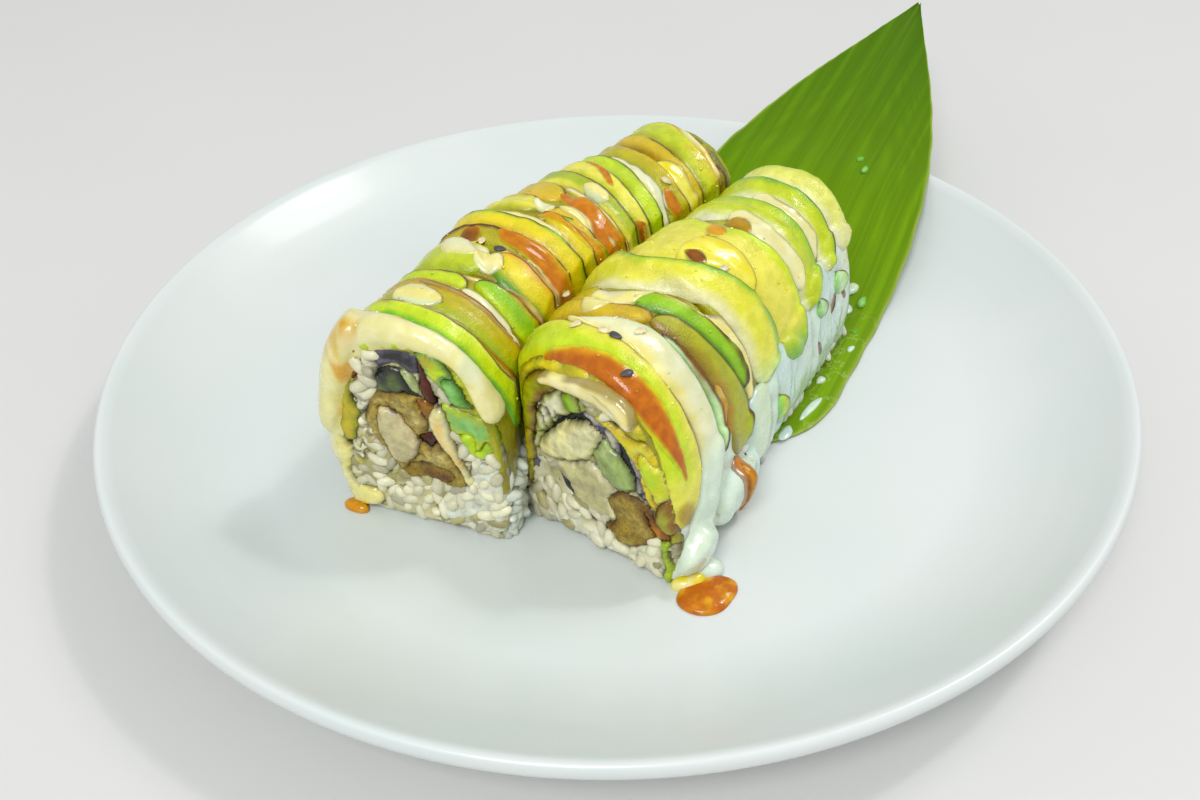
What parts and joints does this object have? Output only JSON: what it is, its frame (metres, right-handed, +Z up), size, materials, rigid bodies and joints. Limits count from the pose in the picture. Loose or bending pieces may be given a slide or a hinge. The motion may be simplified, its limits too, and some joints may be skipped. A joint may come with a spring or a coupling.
{
  "type": "uramaki roll",
  "caption": "Two rows of sliced inside-out sushi roll under avocado slices and creamy sauce, served on a round white plate with a bamboo leaf.",
  "frame": {"origin": "middle of the underside of the plate's foot, on the table", "axes": "+Z up, +Y towards the far side where the leaf hangs over the lip, +X to the right seen from the cut faces"},
  "size_m": [0.26, 0.3157, 0.0673],
  "materials": {
    "plate": "smooth white glaze with a soft sheen",
    "leaf": "fresh green leaf with fine long veins",
    "rice": "pressed cooked grains, slightly moist",
    "avocado": "ripe avocado flesh, yellow to green at its edge, oily sheen",
    "nori": "damp dark seaweed sheet",
    "cucumber": "cut cucumber, wet",
    "cream_cheese": "soft white cheese, satin",
    "tempura": "crisp golden batter, rough",
    "shrimp": "cooked shrimp, satin",
    "mayonnaise": "thick cream sauce, glossy",
    "sauce": "orange-brown syrupy sauce, glossy"
  },
  "bodies": {
    "root": {"avocado_left_1": "avocado", "avocado_left_2": "avocado", "avocado_left_3": "avocado", "avocado_left_4": "avocado", "avocado_left_5": "avocado", "avocado_left_6": "avocado", "avocado_left_7": "avocado", "avocado_left_8": "avocado", "avocado_right_1": "avocado", "avocado_right_2": "avocado", "avocado_right_3": "avocado", "avocado_right_4": "avocado", "avocado_right_5": "avocado", "avocado_right_6": "avocado", "avocado_right_7": "avocado", "avocado_stick_left_1": "avocado", "cream_cheese_left_8": "cream_cheese", "cream_cheese_right_1": "cream_cheese", "cream_cheese_right_7": "cream_cheese", "cucumber_left_1": "cucumber", "cucumber_left_8": "cucumber", "cucumber_right_1": "cucumber", "cucumber_right_7": "cucumber", "leaf": "leaf", "mayonnaise_left": "mayonnaise", "mayonnaise_right": "mayonnaise", "nori_left_1": "nori", "nori_left_8": "nori", "nori_right_1": "nori", "nori_right_7": "nori", "plate": "plate", "rice_left_1": "rice", "rice_left_2": "rice", "rice_left_3": "rice", "rice_left_4": "rice", "rice_left_5": "rice", "rice_left_6": "rice", "rice_left_7": "rice", "rice_left_8": "rice", "rice_right_1": "rice", "rice_right_2": "rice", "rice_right_3": "rice", "rice_right_4": "rice", "rice_right_5": "rice", "rice_right_6": "rice", "rice_right_7": "rice", "sauce_puddle": "sauce", "shrimp_left_1": "shrimp", "shrimp_left_8": "shrimp", "shrimp_right_1": "shrimp", "shrimp_right_7": "shrimp", "tempura_left_1": "tempura", "tempura_left_8": "tempura", "tempura_right_1": "tempura", "tempura_right_7": "tempura"}
  },
  "joints": []
}
